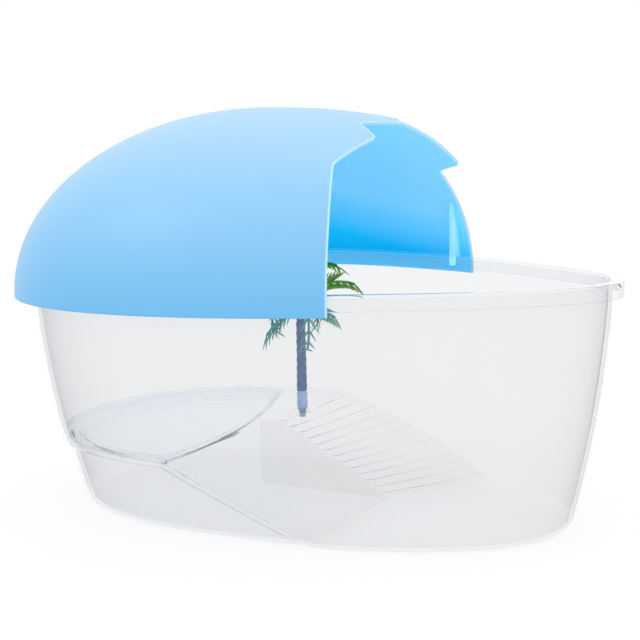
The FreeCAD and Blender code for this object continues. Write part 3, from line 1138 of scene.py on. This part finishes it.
def ringTree():
    # the object's own ring, repeated up the trunk and getting narrower
    inputs = {"Ring": "Geometry", "Rings": "Int", "Rise": "Float", "Top share": "Float", "Twist": "Float",
              "Bark": "Material"}
    tree, given = newGroup("trunkRings", "GeometryNodeTree", inputs, {"Trunk": "Geometry"})
    offset = vectorNode(tree, Z=given["Rise"])
    line = newNode(tree, "GeometryNodeMeshLine", {"Count": given["Rings"], "Offset": offset}).outputs[0]
    index = newNode(tree, "GeometryNodeInputIndex").outputs[0]
    share = mathNode(tree, "DIVIDE", index, given["Rings"])
    less = mathNode(tree, "SUBTRACT", given["Top share"], 1.0)
    wide = mathNode(tree, "ADD", 1.0, mathNode(tree, "MULTIPLY", share, less))
    size = vectorNode(tree, X=wide, Y=wide, Z=1.0)
    twist = mathNode(tree, "MULTIPLY", index, given["Twist"])
    turn = vectorNode(tree, Z=twist)
    copies = newNode(tree, "GeometryNodeInstanceOnPoints", {
        "Points": line, "Instance": given["Ring"], "Scale": size, "Rotation": turn})
    finishTree(tree, copies.outputs[0], given["Bark"])
    return tree


def runTree(piece, tree, values):
    # sets a tree's inputs by identifier and turns its result into a plain mesh
    modifier = piece.modifiers.new(tree.name, "NODES")
    modifier.node_group = tree
    for item in tree.interface.items_tree:
        if item.item_type == "SOCKET" and item.in_out == "INPUT" and item.name in values:
            modifier[item.identifier] = values[item.name]
    piece.update_tag()
    bpy.context.view_layer.update()
    return bakeModifiers(piece)


def makeTrunk():
    s = palmSizes
    rise = s["height"] / s["rings"]
    base = s["baseRadius"]
    stand = s["ringStand"]
    ring = [(base - stand, 0.0), (base - stand, 0.4), (base - 0.5 * stand, 0.45 * rise), (base, 0.8 * rise),
            (base + 0.1, 0.93 * rise), (base - 0.1, rise), (base - 2 * stand, rise + 0.3)]
    trunk = revolved("palm_trunk_bark", ring, s["ringSides"], s["wobble"])
    trunk = runTree(trunk, ringTree(), {
        "Rings": s["rings"], "Rise": rise * mm, "Top share": s["topRadius"] / base, "Twist": s["ringTwist"],
        "Bark": materials["bark"]})
    radius = s["pegRadius"]
    end = -s["pegLength"]
    peg = revolved("peg", [(0.8 * radius, end), (radius, end + 0.6), (radius, 0.5)], 20)
    paint(peg, materials["bark"])
    whole = joinPieces("palm_trunk_bark", [trunk, peg])
    return moveMesh(whole, s["x"], s["y"], s["foot"])


def makeFrond(name, form, leaflets, turn, seed):
    # one frond, from the collar outwards, then turned to its place round the trunk
    s = palmSizes
    reach, arch, tip, dip = form
    pairs, width = leaflets
    root = s["collarRadius"] - s["frondRoot"]
    frond = runTree(makeLeaflets(name, dip, width), frondShape, {
        "Root": (root * mm, 0.0, 0.0), "Middle": (0.5 * reach * mm, 0.0, arch * mm),
        "End": (reach * mm, 0.0, tip * mm), "Pairs": pairs, "Taper": s["leafletTaper"],
        "Spine radius": 0.5 * s["spineWidth"] * mm, "Unevenness": s["unevenness"], "Seed": seed,
        "Leaf": materials["leaf"]})
    frond.data.transform(Matrix.Rotation(turn, 4, "Z"))
    return frond


def makeWhorl(node, whorl, level):
    s = palmSizes
    pieces = []
    for i, form in enumerate(whorl["fronds"]):
        turn = math.radians(whorl["turn"]) + 2 * math.pi * i / len(whorl["fronds"])
        seed = 10 * (level + 3) + i
        pieces.append(makeFrond("frond" + str(i), form, whorl["leaflets"], turn, seed))
    high = s["collarHeight"]
    radius = s["collarRadius"]
    rim = [(radius - 0.5, -0.7), (radius, -0.3), (radius, high - 1.2), (radius - 0.5, high - 0.75)]
    collar = revolved("collar", rim, s["ringSides"])
    paint(collar, materials["leaf"])
    whole = joinPieces(node + "_leaves", pieces + [collar])
    foot = s["foot"] + s["height"] + level * high + 0.65
    return moveMesh(whole, s["x"], s["y"], foot)


trunk = makeTrunk()
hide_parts("palm_trunk")
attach(trunk, "root")
frondShape = frondTree()
for level, (node, whorl) in enumerate(whorls.items()):
    leaves = makeWhorl(node, whorl, level)
    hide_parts(node)
    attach(leaves, "root")
print("palm made")


# Studio: white world and floor for the eye, softer light for the surfaces.
studio = {
    "worldLight": 1.15,
    "floorSize": 12.0,
    "floorLevel": -0.2,
    "floorColor": (0.9, 0.9, 0.9),
    "floorShadow": 0.12,
    "lamps": {
        "keyLamp": {"place": (-0.9, -1.0, 1.5), "size": 0.9, "power": 4.5},
        "fillLamp": {"place": (1.4, -0.6, 0.9), "size": 1.0, "power": 1.5},
        "topLamp": {"place": (0.1, 0.5, 1.8), "size": 1.2, "power": 2.5},
    },
}


def seenDirectly(tree):
    # 1 for camera, mirror and see-through rays
    path = newNode(tree, "ShaderNodeLightPath").outputs
    first = mathNode(tree, "MAXIMUM", path["Is Camera Ray"], path["Is Glossy Ray"])
    return mathNode(tree, "MAXIMUM", first, path["Is Transmission Ray"])


def makeWorld():
    world = bpy.data.worlds.new("studio")
    bpy.context.scene.world = world
    world.use_nodes = True
    tree = world.node_tree
    strength = mapRange(tree, seenDirectly(tree), (0.0, 1.0), studio["worldLight"], 1.0)
    setInputs(tree, tree.nodes["Background"], {"Color": (1.0, 1.0, 1.0), "Strength": strength})


def makeFloor():
    half = 0.5 * studio["floorSize"] / mm
    low = studio["floorLevel"]
    corners = [(-half, -half, low), (half, -half, low), (half, half, low), (-half, half, low)]
    floor = makePiece("floor", corners, [[0, 1, 2, 3]])
    material, tree, shader = newMaterial("floorWhite")
    setInputs(tree, shader, {"Base Color": studio["floorColor"], "Roughness": 0.9, "Specular IOR Level": 0.0})
    white = newNode(tree, "ShaderNodeEmission").outputs["Emission"]
    amount = mathNode(tree, "MULTIPLY", seenDirectly(tree), 1 - studio["floorShadow"])
    mix = newNode(tree, "ShaderNodeMixShader", {"Fac": amount, 1: shader.outputs["BSDF"], 2: white})
    setInputs(tree, tree.nodes["Material Output"], {"Surface": mix.outputs["Shader"]})
    paint(floor, material)


def makeLamps():
    for name, values in studio["lamps"].items():
        lamp = bpy.data.lights.new(name, "AREA")
        lamp.shape = "DISK"
        lamp.size = values["size"]
        lamp.energy = values["power"]
        holder = addObject(name, lamp)
        place = Vector(values["place"])
        holder.location = place
        holder.rotation_mode = "QUATERNION"
        holder.rotation_quaternion = (Vector((0, 0, 0.1)) - place).to_track_quat("-Z", "Y")


def makeCamera():
    v = cameraView
    azimuth, elevation, roll = (math.radians(v[name]) for name in ("azimuth", "elevation", "roll"))
    level = math.cos(elevation)
    back = Vector((math.sin(azimuth) * level, -math.cos(azimuth) * level, math.sin(elevation)))
    right = Vector((math.cos(azimuth), math.sin(azimuth), 0.0))
    up = back.cross(right)
    right, up = right * math.cos(roll) + up * math.sin(roll), up * math.cos(roll) - right * math.sin(roll)
    place = (Vector(v["target"]) + back * v["distance"]) * mm
    camera = bpy.data.cameras.new("camera")
    camera.sensor_width = 36.0
    camera.lens = camera.sensor_width * v["focalPixels"] / v["framePixels"]
    camera.clip_start = 0.01
    camera.clip_end = 100.0
    holder = addObject("camera", camera)
    turn = Matrix((right, up, back)).transposed().to_4x4()
    holder.matrix_world = Matrix.Translation(place) @ turn
    bpy.context.scene.camera = holder


makeWorld()
makeFloor()
makeLamps()
makeCamera()
bpy.context.scene.view_settings.view_transform = "Standard"
print("studio ready")
